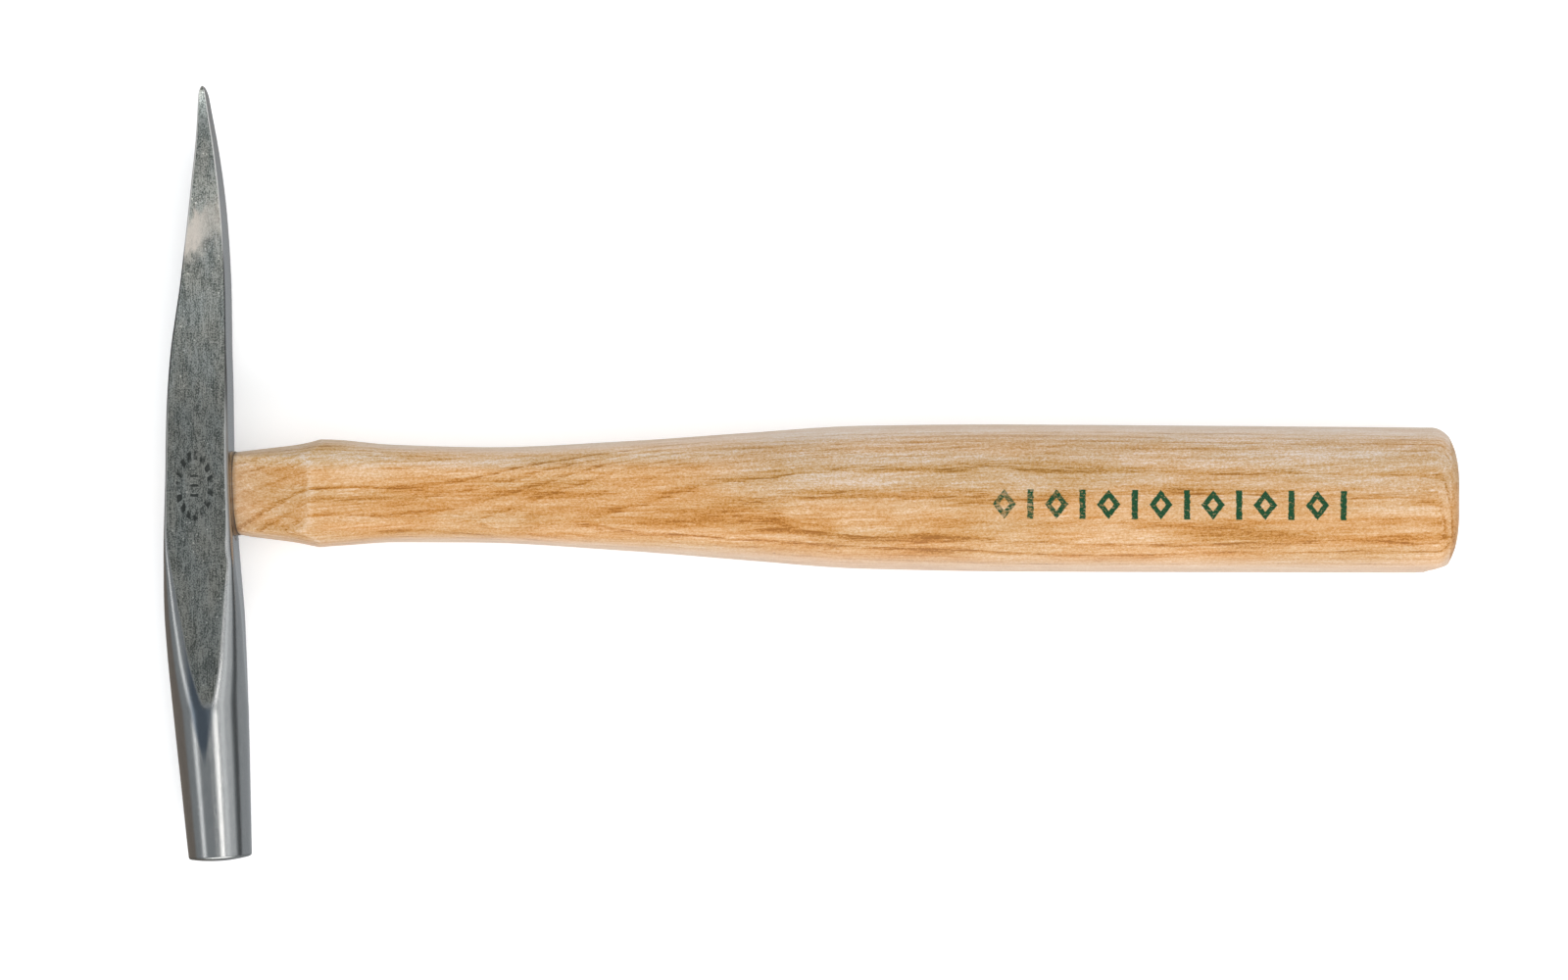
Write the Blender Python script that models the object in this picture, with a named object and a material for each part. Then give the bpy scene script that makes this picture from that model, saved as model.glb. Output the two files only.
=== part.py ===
"""Hand hammer: steel head with a long cross pein and a round striking face, wedged on a wooden handle.

The hammer lies on its side. +X runs along the handle from the head to the butt, +Y along the head
towards the pein, +Z up through the cheeks. The origin is at the centre of the object's bounding box,
on the surface that it lies on. Each piece is modelled about the eye centre and then moved there.
"""
import math

import bmesh
import bpy

MM = 0.001
FIT_GAP = 0.3 * MM

# Head, measured from the eye centre: +Y towards the pein tip.
PEIN_REACH = 79.8 * MM
FACE_REACH = 71.0 * MM
CHEEK_HALF_DEPTH = 7.4 * MM
FACE_RADIUS = 6.25 * MM
FACE_CROWN = 0.6 * MM
FACE_EDGE_RADIUS = 0.7 * MM
POLL_START = 42.5 * MM
POLL_TILT = math.radians(4.0)
TILT_START = 6.0 * MM
HEAD_RING_STEP = 3.6 * MM
POLL_RINGS = 5
FACE_EDGE_RINGS = 3
FACE_CROWN_SHARES = (0.66, 0.33)
CORNER_POINTS = 8
# The largest corner radius, as a share of the half width: a round ring keeps a sliver of flat.
ROUND_SHARE = 0.999

# (distance along Y, value), both in millimetres.
HEAD_CENTRE = ((-42.5, 2.2), (-26, 1.05), (-12, 0.3), (0, -0.04), (14, -0.16), (26, 0.0),
               (43, 0.87), (55, 1.09), (66, 0.92), (79.8, 0.05))
HEAD_HALF_WIDTH = ((-42.5, 7.4), (-26, 7.55), (-12, 6.94), (0, 6.35), (20, 5.87), (43, 4.24),
                   (60, 2.74), (72, 1.35), (79.8, 0.42))
HEAD_HALF_DEPTH = ((-42.5, 7.4), (45, 7.4), (52, 7.1), (72, 5.0), (79.8, 3.9))
CHEEK_FLAT_SHARE = ((-42.5, 0.0), (-41.4, 0.09), (-37.1, 0.25), (-33.4, 0.36), (-27.4, 0.47),
                    (-20, 0.62), (-7, 0.91), (0, 0.93), (43, 0.93), (79.8, 0.75))

# Eye: a slot with round ends that is narrowest at its middle.
EYE_MOUTH = (8.45 * MM, 4.7 * MM)
EYE_WAIST = (8.0 * MM, 4.3 * MM)
EYE_FLAT = 3.9 * MM
EYE_CUT_REACH = 9.0 * MM

# Handle, measured from the eye centre along +X.
TENON_END = -6.2 * MM
TENON_MOUTH = 7.1 * MM
TENON_MOUTH_GAP = 1.6 * FIT_GAP
NECK_FLAT = 7.0 * MM
BUTT_END = 247.0 * MM
BUTT_SHOULDER = 3.1 * MM
BUTT_INSET = 1.6 * MM
BUTT_DOME = 2.1 * MM
BUTT_SHOULDER_RINGS = 5
BUTT_DOME_SHARES = (0.9, 0.75, 0.5, 0.2)
HANDLE_RING_POINTS = 32

NECK_HALF_HEIGHT = ((7.2, 8.2), (14.4, 9.05), (19, 9.65), (24, 10.75), (26, 11.3))
NECK_HALF_DEPTH = ((7.2, 4.5), (26, 9.3))
BODY_HALF_HEIGHT = ((7.2, 10.8), (25, 10.7), (38, 9.72), (56, 9.35), (84, 10.7), (107, 12.4),
                    (130, 13.95), (160, 14.35), (247.2, 14.15))
BODY_HALF_DEPTH = ((7.2, 8.3), (25, 8.3), (56, 7.9), (95, 8.6), (140, 9.6), (247.2, 9.6))
BODY_FLAT = ((7.2, 5.6), (25, 5.6), (50, 4.4), (95, 4.4), (150, 5.4), (247.2, 5.8))
# How far the handle's middle leans towards the pein; its pein side stays where it is.
LEAN = ((7.2, 0.0), (20, 0.0), (27, 0.22), (36, 0.16), (50, 0.0), (75, -0.1), (247.2, -0.1))
NECK_RINGS = (7.2, 9, 11, 13, 15, 16.5, 18, 19.2, 20.4, 21.4, 22.4, 23.2, 24, 25)
BODY_RINGS = (29, 33.5, 38, 44, 50, 56, 63, 70, 77, 84, 92, 100, 107, 115, 122, 130, 140, 150,
              160, 188, 216)

# Wedges, driven into the tenon's end, and the extra size of the cutters that make room for them.
WOOD_WEDGE_LENGTH = 10.5 * MM
WOOD_WEDGE_HALF_WIDTH = 7.4 * MM
WOOD_WEDGE_THICKNESS = (2.4 * MM, 0.9 * MM)
STEEL_WEDGE_LENGTH = 6.0 * MM
STEEL_WEDGE_HALF_WIDTH = 3.1 * MM
STEEL_WEDGE_THICKNESS = (1.3 * MM, 0.5 * MM)
STEEL_WEDGE_OFFSET = 3.9 * MM
STEEL_WEDGE_NAMES = {"steel_wedge_pein_side": 1, "steel_wedge_face_side": -1}
KERF_OVERCUT = 3.0 * MM
CUTTER_PAST_END = 1.0 * MM

STEEL = {"colour": (0.36, 0.37, 0.36, 1), "roughness": 0.35, "metallic": 1.0}
WEDGE_STEEL = {"colour": (0.3, 0.3, 0.3, 1), "roughness": 0.5, "metallic": 1.0}
HICKORY = {"colour": (0.71, 0.5, 0.28, 1), "roughness": 0.4, "metallic": 0.0}
WEDGE_WOOD = {"colour": (0.55, 0.36, 0.2, 1), "roughness": 0.7, "metallic": 0.0}


def remove_all_objects():
    for old in list(bpy.data.objects):
        bpy.data.objects.remove(old, do_unlink=True)


def smooth_value(stations, position):
    """Read a smooth curve through (position, value) stations, without overshoot."""
    places = [place for place, _ in stations]
    values = [value for _, value in stations]
    position = min(max(position, places[0]), places[-1])
    rises = [(values[i + 1] - values[i]) / (places[i + 1] - places[i]) for i in range(len(places) - 1)]
    slopes = [rises[0]]
    for before, after in zip(rises, rises[1:]):
        level = before * after <= 0
        slopes.append(0.0 if level else 2 * before * after / (before + after))
    slopes.append(rises[-1])
    index = max(i for i in range(len(rises)) if places[i] <= position)
    span = places[index + 1] - places[index]
    t = (position - places[index]) / span
    return ((1 + 2 * t) * (1 - t) ** 2 * values[index]
            + t * (1 - t) ** 2 * span * slopes[index]
            + t * t * (3 - 2 * t) * values[index + 1]
            + t * t * (t - 1) * span * slopes[index + 1])


def in_metres(stations, position):
    return smooth_value(stations, position / MM) * MM


def make_material(name, look):
    material = bpy.data.materials.new(name)
    material.use_nodes = True
    shader = material.node_tree.nodes["Principled BSDF"]
    shader.inputs["Base Color"].default_value = look["colour"]
    shader.inputs["Roughness"].default_value = look["roughness"]
    shader.inputs["Metallic"].default_value = look["metallic"]
    return material


def skin_rings(name, rings):
    """Make a closed body from rings of points, each ring joined to the next and both ends filled."""
    shape = bmesh.new()
    loops = []
    for ring in rings:
        points = [shape.verts.new(point) for point in ring]
        pairs = zip(points, points[1:] + points[:1])
        loops.append([shape.edges.new(pair) for pair in pairs])
    for loop, following in zip(loops, loops[1:]):
        bmesh.ops.bridge_loops(shape, edges=loop + following)
    bmesh.ops.edgeloop_fill(shape, edges=loops[0])
    bmesh.ops.edgeloop_fill(shape, edges=loops[-1])
    bmesh.ops.recalc_face_normals(shape, faces=shape.faces)
    mesh = bpy.data.meshes.new(name)
    shape.to_mesh(mesh)
    shape.free()
    piece = bpy.data.objects.new(name, mesh)
    bpy.context.scene.collection.objects.link(piece)
    return piece


def finish_piece(piece, material, root, sharp_degrees=30):
    piece.data.materials.append(material)
    piece.data.shade_smooth()
    piece.data.set_sharp_from_angle(angle=math.radians(sharp_degrees))
    piece.parent = root


def as_cutter(piece, root):
    piece.hide_render = True
    piece.display_type = "WIRE"
    piece.parent = root
    return piece


def cut(piece, cutter):
    modifier = piece.modifiers.new("cut_" + cutter.name, "BOOLEAN")
    modifier.operation = "DIFFERENCE"
    modifier.object = cutter


def rounded_rectangle(half_width, half_depth, corner):
    """Points round a rectangle whose corners are quarter circles."""
    points = []
    for quarter, (side, end) in enumerate(((1, 1), (-1, 1), (-1, -1), (1, -1))):
        for step in range(CORNER_POINTS):
            angle = math.radians(90) * (quarter + step / (CORNER_POINTS - 1))
            points.append((side * (half_width - corner) + corner * math.cos(angle),
                           end * (half_depth - corner) + corner * math.sin(angle)))
    return points


def head_ring(distance, centre, half_width, half_depth, corner, tilt):
    """A ring of the head across its length, turned by tilt about the depth axis."""
    return [(centre + across * math.cos(tilt), distance + across * math.sin(tilt), depth)
            for across, depth in rounded_rectangle(half_width, half_depth, corner)]


def bar_ring(distance):
    """A ring of the head between the pein tip and the start of the round poll."""
    half_width = in_metres(HEAD_HALF_WIDTH, distance)
    half_depth = in_metres(HEAD_HALF_DEPTH, distance)
    corner = half_width * (1 - smooth_value(CHEEK_FLAT_SHARE, distance / MM))
    corner = min(corner, half_width * ROUND_SHARE, half_depth * ROUND_SHARE)
    turned = min(max((-distance - TILT_START) / (POLL_START - TILT_START), 0), 1)
    return head_ring(distance, in_metres(HEAD_CENTRE, distance), half_width, half_depth, corner,
                     turned * POLL_TILT)


def poll_ring(past_start, radius):
    """A round ring of the poll, past_start along its tilted axis."""
    centre = in_metres(HEAD_CENTRE, -POLL_START) + past_start * math.sin(POLL_TILT)
    distance = -POLL_START - past_start * math.cos(POLL_TILT)
    return head_ring(distance, centre, radius, radius, radius * ROUND_SHARE, POLL_TILT)


def build_head():
    """Cross pein, flat cheeks, round tapered poll and a slightly crowned striking face."""
    bar_length = PEIN_REACH + POLL_START
    bar_steps = math.ceil(bar_length / HEAD_RING_STEP)
    rings = [bar_ring(PEIN_REACH - bar_length * step / bar_steps) for step in range(bar_steps + 1)]

    poll_length = (FACE_REACH - POLL_START) / math.cos(POLL_TILT)
    for step in range(1, POLL_RINGS + 1):
        share = step / POLL_RINGS
        rings.append(poll_ring(share * poll_length,
                               CHEEK_HALF_DEPTH + share * (FACE_RADIUS - CHEEK_HALF_DEPTH)))

    crown_radius = FACE_RADIUS - FACE_EDGE_RADIUS
    for step in range(1, FACE_EDGE_RINGS + 1):
        angle = math.radians(90) * step / FACE_EDGE_RINGS
        rings.append(poll_ring(poll_length + FACE_EDGE_RADIUS * math.sin(angle),
                               crown_radius + FACE_EDGE_RADIUS * math.cos(angle)))
    for share in FACE_CROWN_SHARES:
        rise = FACE_CROWN * (1 - share ** 2)
        rings.append(poll_ring(poll_length + FACE_EDGE_RADIUS + rise, crown_radius * share))
    return skin_rings("head", rings)


def slot_depth(height, half_height, half_depth, flat):
    """Half depth, at a height, of a section with flat sides and elliptical ends."""
    past_flat = max(abs(height) - flat, 0) / (half_height - flat)
    return half_depth * math.sqrt(max(1 - past_flat ** 2, 0))


def section_ring(x, sections):
    """The part that overlapping (half height, half depth, flat) sections share, as a ring at x."""
    reach = min(half_height for half_height, _, _ in sections)
    middle = in_metres(LEAN, x)
    points = []
    for step in range(HANDLE_RING_POINTS):
        angle = math.tau * step / HANDLE_RING_POINTS
        height = reach * math.cos(angle)
        depth = min(slot_depth(height, *section) for section in sections)
        on_edge = step % (HANDLE_RING_POINTS // 2) == 0
        points.append((x, middle + height,
                       0.0 if on_edge else math.copysign(depth, math.sin(angle))))
    return points


def eye_ring(x, half_sizes, shrink=0.0):
    half_height, half_depth = half_sizes
    return section_ring(x, [(half_height - shrink, half_depth - shrink, EYE_FLAT)])


def build_eye_cutter():
    return skin_rings("eye_cutter", [eye_ring(-EYE_CUT_REACH, EYE_MOUTH), eye_ring(0, EYE_WAIST),
                                     eye_ring(EYE_CUT_REACH, EYE_MOUTH)])


def body_section(x):
    return (in_metres(BODY_HALF_HEIGHT, x) - in_metres(LEAN, x), in_metres(BODY_HALF_DEPTH, x),
            in_metres(BODY_FLAT, x))


def neck_section(x):
    return (in_metres(NECK_HALF_HEIGHT, x), in_metres(NECK_HALF_DEPTH, x), NECK_FLAT)


def build_handle():
    """Tenon in the eye, tapered neck, waist, swelled grip and domed butt."""
    rings = [eye_ring(TENON_END, EYE_MOUTH, TENON_MOUTH_GAP), eye_ring(0, EYE_WAIST, FIT_GAP),
             eye_ring(TENON_MOUTH, EYE_MOUTH, TENON_MOUTH_GAP)]
    rings += [section_ring(x * MM, [neck_section(x * MM), body_section(x * MM)]) for x in NECK_RINGS]
    rings += [section_ring(x * MM, [body_section(x * MM)]) for x in BODY_RINGS]

    shoulder_start = BUTT_END - BUTT_DOME - BUTT_SHOULDER
    half_height, half_depth, flat = body_section(shoulder_start)
    for step in range(BUTT_SHOULDER_RINGS + 1):
        share = step / BUTT_SHOULDER_RINGS
        inset = BUTT_INSET * share ** 2
        rings.append(section_ring(shoulder_start + BUTT_SHOULDER * share,
                                  [(half_height - inset, half_depth - inset, flat)]))
    for share in BUTT_DOME_SHARES:
        rings.append(section_ring(BUTT_END - BUTT_DOME * share ** 4,
                                  [((half_height - BUTT_INSET) * share,
                                    (half_depth - BUTT_INSET) * share, flat * share)]))
    return skin_rings("handle", rings)


def wedge_ring(x, half_width, half_thickness, across_head):
    """A rectangle at x whose long side runs along the head, or across it."""
    corners = ((1, 1), (-1, 1), (-1, -1), (1, -1))
    if across_head:
        return [(x, side * half_thickness, end * half_width) for side, end in corners]
    return [(x, side * half_width, end * half_thickness) for side, end in corners]


def build_wedge(name, length, half_width, thicknesses, across_head=False, extra=0.0, past_end=0.0):
    """A tapered wedge that starts at the tenon's end; extra makes it larger all round, as a cutter."""
    thick, thin = thicknesses
    start = TENON_END - past_end
    return skin_rings(name, [wedge_ring(start, half_width, thick / 2 + extra, across_head),
                             wedge_ring(TENON_END + length + extra, half_width, thin / 2 + extra,
                                        across_head)])


def move_along_head(piece, distance):
    piece.location.y = distance


def build_hammer():
    remove_all_objects()
    root = bpy.data.objects.new("hammer", None)
    bpy.context.scene.collection.objects.link(root)
    steel = make_material("head_steel", STEEL)
    wedge_steel = make_material("wedge_steel", WEDGE_STEEL)
    hickory = make_material("handle_hickory", HICKORY)
    wedge_wood = make_material("wedge_wood", WEDGE_WOOD)

    head = build_head()
    finish_piece(head, steel, root)
    cut(head, as_cutter(build_eye_cutter(), root))

    handle = build_handle()
    finish_piece(handle, hickory, root)
    kerf = build_wedge("kerf_cutter", WOOD_WEDGE_LENGTH, WOOD_WEDGE_HALF_WIDTH + KERF_OVERCUT,
                       WOOD_WEDGE_THICKNESS, extra=FIT_GAP, past_end=CUTTER_PAST_END)
    cut(handle, as_cutter(kerf, root))

    wood_wedge = build_wedge("wood_wedge", WOOD_WEDGE_LENGTH, WOOD_WEDGE_HALF_WIDTH,
                             WOOD_WEDGE_THICKNESS)
    finish_piece(wood_wedge, wedge_wood, root)

    for name, side in STEEL_WEDGE_NAMES.items():
        wedge = build_wedge(name, STEEL_WEDGE_LENGTH, STEEL_WEDGE_HALF_WIDTH, STEEL_WEDGE_THICKNESS,
                            across_head=True)
        move_along_head(wedge, side * STEEL_WEDGE_OFFSET)
        finish_piece(wedge, wedge_steel, root)
        slot = build_wedge(name + "_cutter", STEEL_WEDGE_LENGTH, STEEL_WEDGE_HALF_WIDTH + FIT_GAP,
                           STEEL_WEDGE_THICKNESS, across_head=True, extra=FIT_GAP,
                           past_end=CUTTER_PAST_END)
        move_along_head(slot, side * STEEL_WEDGE_OFFSET)
        as_cutter(slot, root)
        cut(handle, slot)
        cut(wood_wedge, slot)
    return root


def place_on_surface(root):
    """Put the bounding box's centre over the origin and the hammer's underside at height zero."""
    bpy.context.view_layer.update()
    corners = [piece.matrix_world @ vertex.co for piece in root.children
               if piece.type == "MESH" and not piece.hide_render for vertex in piece.data.vertices]
    lowest = [min(corner[axis] for corner in corners) for axis in range(3)]
    highest = [max(corner[axis] for corner in corners) for axis in range(3)]
    root.location = (-(lowest[0] + highest[0]) / 2, -(lowest[1] + highest[1]) / 2, -lowest[2])


hammer = build_hammer()
place_on_surface(hammer)
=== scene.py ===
import math

import bmesh
import bpy
from mathutils import Matrix, Vector, noise


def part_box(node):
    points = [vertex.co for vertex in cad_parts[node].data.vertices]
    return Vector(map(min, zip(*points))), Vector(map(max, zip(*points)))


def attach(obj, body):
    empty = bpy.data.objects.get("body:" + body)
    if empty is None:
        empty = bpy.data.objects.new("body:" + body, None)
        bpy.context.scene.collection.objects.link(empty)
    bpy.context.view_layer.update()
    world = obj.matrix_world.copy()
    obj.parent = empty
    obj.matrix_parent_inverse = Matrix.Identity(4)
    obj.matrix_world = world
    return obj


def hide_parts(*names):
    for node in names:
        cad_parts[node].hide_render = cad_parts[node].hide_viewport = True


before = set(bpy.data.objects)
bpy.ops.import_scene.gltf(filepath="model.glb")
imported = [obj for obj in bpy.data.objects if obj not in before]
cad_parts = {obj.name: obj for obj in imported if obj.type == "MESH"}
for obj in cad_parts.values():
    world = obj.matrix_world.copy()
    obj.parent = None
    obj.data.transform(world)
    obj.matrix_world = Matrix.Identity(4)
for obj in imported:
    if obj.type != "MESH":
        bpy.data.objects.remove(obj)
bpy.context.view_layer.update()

mm = 0.001
tenonReach = 6.2 * mm  # from the eye's centre to the end of the tenon

headLow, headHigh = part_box("head")
handleLow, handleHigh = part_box("handle")
eye = Vector((handleLow.x + tenonReach,
              (handleLow.y + handleHigh.y) / 2,
              (handleLow.z + handleHigh.z) / 2))


# Small helpers for curves and meshes

def smoothBetween(stations, place):
    # a smooth curve through (place, value) pairs that never overshoots them
    places = [station[0] for station in stations]
    values = [station[1] for station in stations]
    place = min(max(place, places[0]), places[-1])
    rises = [(values[i + 1] - values[i]) / (places[i + 1] - places[i]) for i in range(len(places) - 1)]
    slopes = [rises[0]]
    for before, after in zip(rises, rises[1:]):
        slopes.append(0.0 if before * after <= 0 else 2 * before * after / (before + after))
    slopes.append(rises[-1])
    index = max(i for i in range(len(rises)) if places[i] <= place)
    span = places[index + 1] - places[index]
    t = (place - places[index]) / span
    return ((1 + 2 * t) * (1 - t) ** 2 * values[index]
            + t * (1 - t) ** 2 * span * slopes[index]
            + t * t * (3 - 2 * t) * values[index + 1]
            + t * t * (t - 1) * span * slopes[index + 1])


def fadeIn(low, high, value):
    share = min(max((value - low) / (high - low), 0.0), 1.0)
    return share * share * (3 - 2 * share)


def shapeTube(name, ringCount, pointCount, placePoint, paintPoint=None):
    # a grid rolled into a closed tube: placePoint(ring, point) gives each corner in metres
    grid = bmesh.new()
    paint = grid.verts.layers.float_color.new("finishAndShade") if paintPoint else None
    bmesh.ops.create_grid(grid, x_segments=ringCount, y_segments=pointCount, size=0.5)
    for vert in grid.verts:
        ring = round((vert.co.x + 0.5) * ringCount)
        point = round((vert.co.y + 0.5) * pointCount) % pointCount
        vert.co = placePoint(ring, point)
        if paint:
            vert[paint] = (*paintPoint(ring, point), 1.0)
    bmesh.ops.remove_doubles(grid, verts=grid.verts, dist=1e-6)
    bmesh.ops.edgeloop_fill(grid, edges=[edge for edge in grid.edges if edge.is_boundary])
    bmesh.ops.recalc_face_normals(grid, faces=grid.faces)
    return finishMesh(grid, name)


def finishMesh(shape, name):
    mesh = bpy.data.meshes.new(name)
    shape.to_mesh(mesh)
    shape.free()
    piece = bpy.data.objects.new(name, mesh)
    bpy.context.scene.collection.objects.link(piece)
    return piece


def cutAway(piece, cutter):
    modifier = piece.modifiers.new("cut", "BOOLEAN")
    modifier.operation = "DIFFERENCE"
    modifier.solver = "EXACT"
    modifier.object = cutter
    bpy.context.view_layer.objects.active = piece
    bpy.ops.object.modifier_apply(modifier=modifier.name)


def smoothShade(piece, sharpDegrees):
    piece.data.shade_smooth()
    piece.data.set_sharp_from_angle(angle=math.radians(sharpDegrees))


def placePiece(piece, material, slot, *nodes):
    piece.data.materials.clear()
    piece.data.materials.append(material)
    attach(piece, "root")
    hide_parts(*nodes)


# Small helpers for materials

def feed(tree, socket, value):
    # a socket takes a link from another socket, or a plain value
    if isinstance(value, bpy.types.NodeSocket):
        tree.links.new(value, socket)
    else:
        socket.default_value = value


def addNode(tree, kind, inputs=None, **settings):
    made = tree.nodes.new("ShaderNode" + kind)
    for key, value in settings.items():
        setattr(made, key, value)
    for key, value in (inputs or {}).items():
        feed(tree, made.inputs[key], value)
    return made


def splitAxes(tree, vector):
    return addNode(tree, "SeparateXYZ", {"Vector": vector}).outputs


def calc(tree, operation, *values, clamp=False):
    return addNode(tree, "Math", dict(enumerate(values)), operation=operation, use_clamp=clamp).outputs[0]


def times(tree, first, second, clamp=False):
    return calc(tree, "MULTIPLY", first, second, clamp=clamp)


def awayFrom(tree, value, middle):
    return calc(tree, "ABSOLUTE", calc(tree, "SUBTRACT", value, middle))


def centred(tree, value, strength):
    return times(tree, calc(tree, "SUBTRACT", value, 0.5), strength)


def addUp(tree, *values):
    total = values[0]
    for value in values[1:]:
        total = calc(tree, "ADD", total, value)
    return total


def remap(tree, value, low, high, newLow=0.0, newHigh=1.0):
    made = addNode(tree, "MapRange", {"Value": value, "From Min": low, "From Max": high,
                                      "To Min": newLow, "To Max": newHigh},
                   interpolation_type="SMOOTHSTEP")
    return made.outputs["Result"]


def mixColor(tree, share, first, second, blend="MIX"):
    made = addNode(tree, "Mix", data_type="RGBA", blend_type=blend)
    for index, value in ((0, share), (6, first), (7, second)):
        feed(tree, made.inputs[index], value)
    return made.outputs[2]


def tintBy(tree, share, color, tint):
    return mixColor(tree, share, color, tint, "MULTIPLY")


def stretchedNoise(tree, vector, scale, detail=3.0, roughness=0.5):
    # noise whose grains are 1/scale millimetres long each way
    mapping = addNode(tree, "Mapping", {"Vector": vector, "Scale": scale})
    return addNode(tree, "TexNoise", {"Vector": mapping.outputs[0], "Scale": 1.0, "Detail": detail,
                                      "Roughness": roughness}).outputs[0]


def newGroup(name, inputs, outputs):
    group = bpy.data.node_groups.new(name, "ShaderNodeTree")
    for socketName, kind, value in inputs:
        socket = group.interface.new_socket(socketName, in_out="INPUT", socket_type="NodeSocket" + kind)
        if value is not None:
            socket.default_value = value
    for socketName, kind in outputs:
        group.interface.new_socket(socketName, in_out="OUTPUT", socket_type="NodeSocket" + kind)
    start = group.nodes.new("NodeGroupInput")
    end = group.nodes.new("NodeGroupOutput")
    return group, start.outputs, end.inputs


def useGroup(tree, group, inputs):
    made = tree.nodes.new("ShaderNodeGroup")
    made.node_tree = group
    for key, value in inputs.items():
        feed(tree, made.inputs[key], value)
    return made.outputs


def newMaterial(name):
    material = bpy.data.materials.new(name)
    material.use_nodes = True
    tree = material.node_tree
    shader = tree.nodes["Principled BSDF"]
    # millimetres from the eye's centre
    coords = addNode(tree, "TexCoord").outputs["Object"]
    mapping = addNode(tree, "Mapping", {"Vector": coords, "Scale": (1000, 1000, 1000),
                                        "Location": tuple(-1000 * axis for axis in eye)})
    return material, tree, shader, mapping.outputs[0]


def addBump(tree, shader, height, distance):
    bump = addNode(tree, "Bump", {"Height": height, "Distance": distance, "Strength": 1.0})
    tree.links.new(bump.outputs[0], shader.inputs["Normal"])


def readFinishAndShade(tree):
    # the three masks painted on the corners of a piece
    finishAndShade = addNode(tree, "Attribute", attribute_name="finishAndShade")
    return addNode(tree, "SeparateColor", {"Color": finishAndShade.outputs["Color"]}).outputs


# Shared surface effects

def makeGrindingGroup():
    # long scratches left by a wheel, drawn along one axis, with pits and blotches between them
    group, given, result = newGroup("grinding",
                                    [("Vector", "Vector", None), ("Line Length", "Float", 6.0),
                                     ("Line Width", "Float", 0.12)],
                                    [("Lines", "Float"), ("Blotches", "Float"), ("Specks", "Float")])
    across = calc(group, "DIVIDE", 1.0, given["Line Width"])
    along = calc(group, "DIVIDE", 1.0, given["Line Length"])
    scale = addNode(group, "CombineXYZ", {"X": across, "Y": along, "Z": across}).outputs[0]
    lines = stretchedNoise(group, given["Vector"], scale, 4.0, 0.65)
    blotches = stretchedNoise(group, given["Vector"], (0.9, 0.35, 0.9), 5.0, 0.6)
    grains = addNode(group, "TexVoronoi", {"Vector": given["Vector"], "Scale": 1.5, "Randomness": 1.0},
                     feature="F1")
    size = addNode(group, "SeparateColor", {"Color": grains.outputs["Color"]}).outputs[0]
    reach = remap(group, size, 0.86, 1.0, 0.0, 0.3)
    specks = calc(group, "LESS_THAN", grains.outputs["Distance"], reach)
    group.links.new(lines, result["Lines"])
    group.links.new(blotches, result["Blotches"])
    group.links.new(specks, result["Specks"])
    return group


grinding = makeGrindingGroup()


# The head: long cross pein, flat cheeks, eye, round tapered poll and crowned face

head = {
    "ringStep": 0.9, "cornerPoints": 14, "flatPoints": 8, "sharpAngle": 38,
    "pollStart": -42.5, "pollTilt": 4.0, "tiltStart": -6.0, "startRadius": 7.4, "faceRadius": 6.22,
    "faceEdge": 0.55, "faceCrown": 0.6, "faceLean": 0.07, "leastFlat": 0.02, "cheekFade": 0.12,
    "rimSteps": 8, "rimTurn": 76, "crownRings": 13,
    "sideCosine": 0.97, "sidePolish": 0.75, "facePolish": 0.55, "polishFade": (2, -16),
    "wearFade": (3.2, 0.6),
    # (millimetres towards the pein from the eye, value)
    "centre": ((-42.5, 2.2), (-26, 1.05), (-12, 0.3), (0, -0.04), (14, -0.16), (26, 0.0),
               (43, 0.87), (55, 1.09), (66, 0.92), (79.8, 0.05)),
    "halfWidth": ((-42.5, 7.4), (-26, 7.55), (-12, 6.94), (0, 6.35), (20, 5.87), (43, 4.24),
                  (60, 2.74), (72, 1.35), (79.8, 0.5)),
    "halfDepth": ((-42.5, 7.4), (45, 7.4), (52, 7.1), (72, 5.0), (79.8, 3.9)),
    "flatShare": ((-43.0, 0.0), (-41.4, 0.09), (-37.1, 0.25), (-33.4, 0.36), (-27.4, 0.47),
                  (-20, 0.62), (-7, 0.91), (0, 0.93), (43, 0.93), (79.8, 0.75)),
    "handleSideRound": ((-45, 2.1), (4, 2.1), (22, 1.3), (34, 1.0), (80, 1.0)),
    "roundFade": (1.6, 0.6), "mostRound": 0.9,
    "waviness": 0.03, "waveScale": (0.12, 0.09, 0.12), "waveFade": 3,
    "tipRound": 2.2, "tipThinning": 2.2, "tipSteps": 8, "tipLeast": 0.3, "tipEnd": 0.22,
    # half height and half depth of the eye, at its mouths and at its middle
    "eyeMouth": (8.45, 4.7), "eyeWaist": (8.0, 4.3), "eyeReach": 9.0, "eyeFlat": 3.9, "eyePoints": 96,
    "eyeRound": 0.35, "eyeFlare": 0.9, "eyeFlarePower": 1.5, "eyeSurface": (-6.4, 6.3),
    "eyeStations": (-9.0, -7.6, -6.9, -6.6, -6.4, -6.2, -6.0, 0.0, 5.9, 6.1, 6.3, 6.5, 6.8, 7.4, 9.0),
}

tipReach = (headHigh.y - eye.y) / mm
faceReach = (headLow.y - eye.y) / mm


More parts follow.
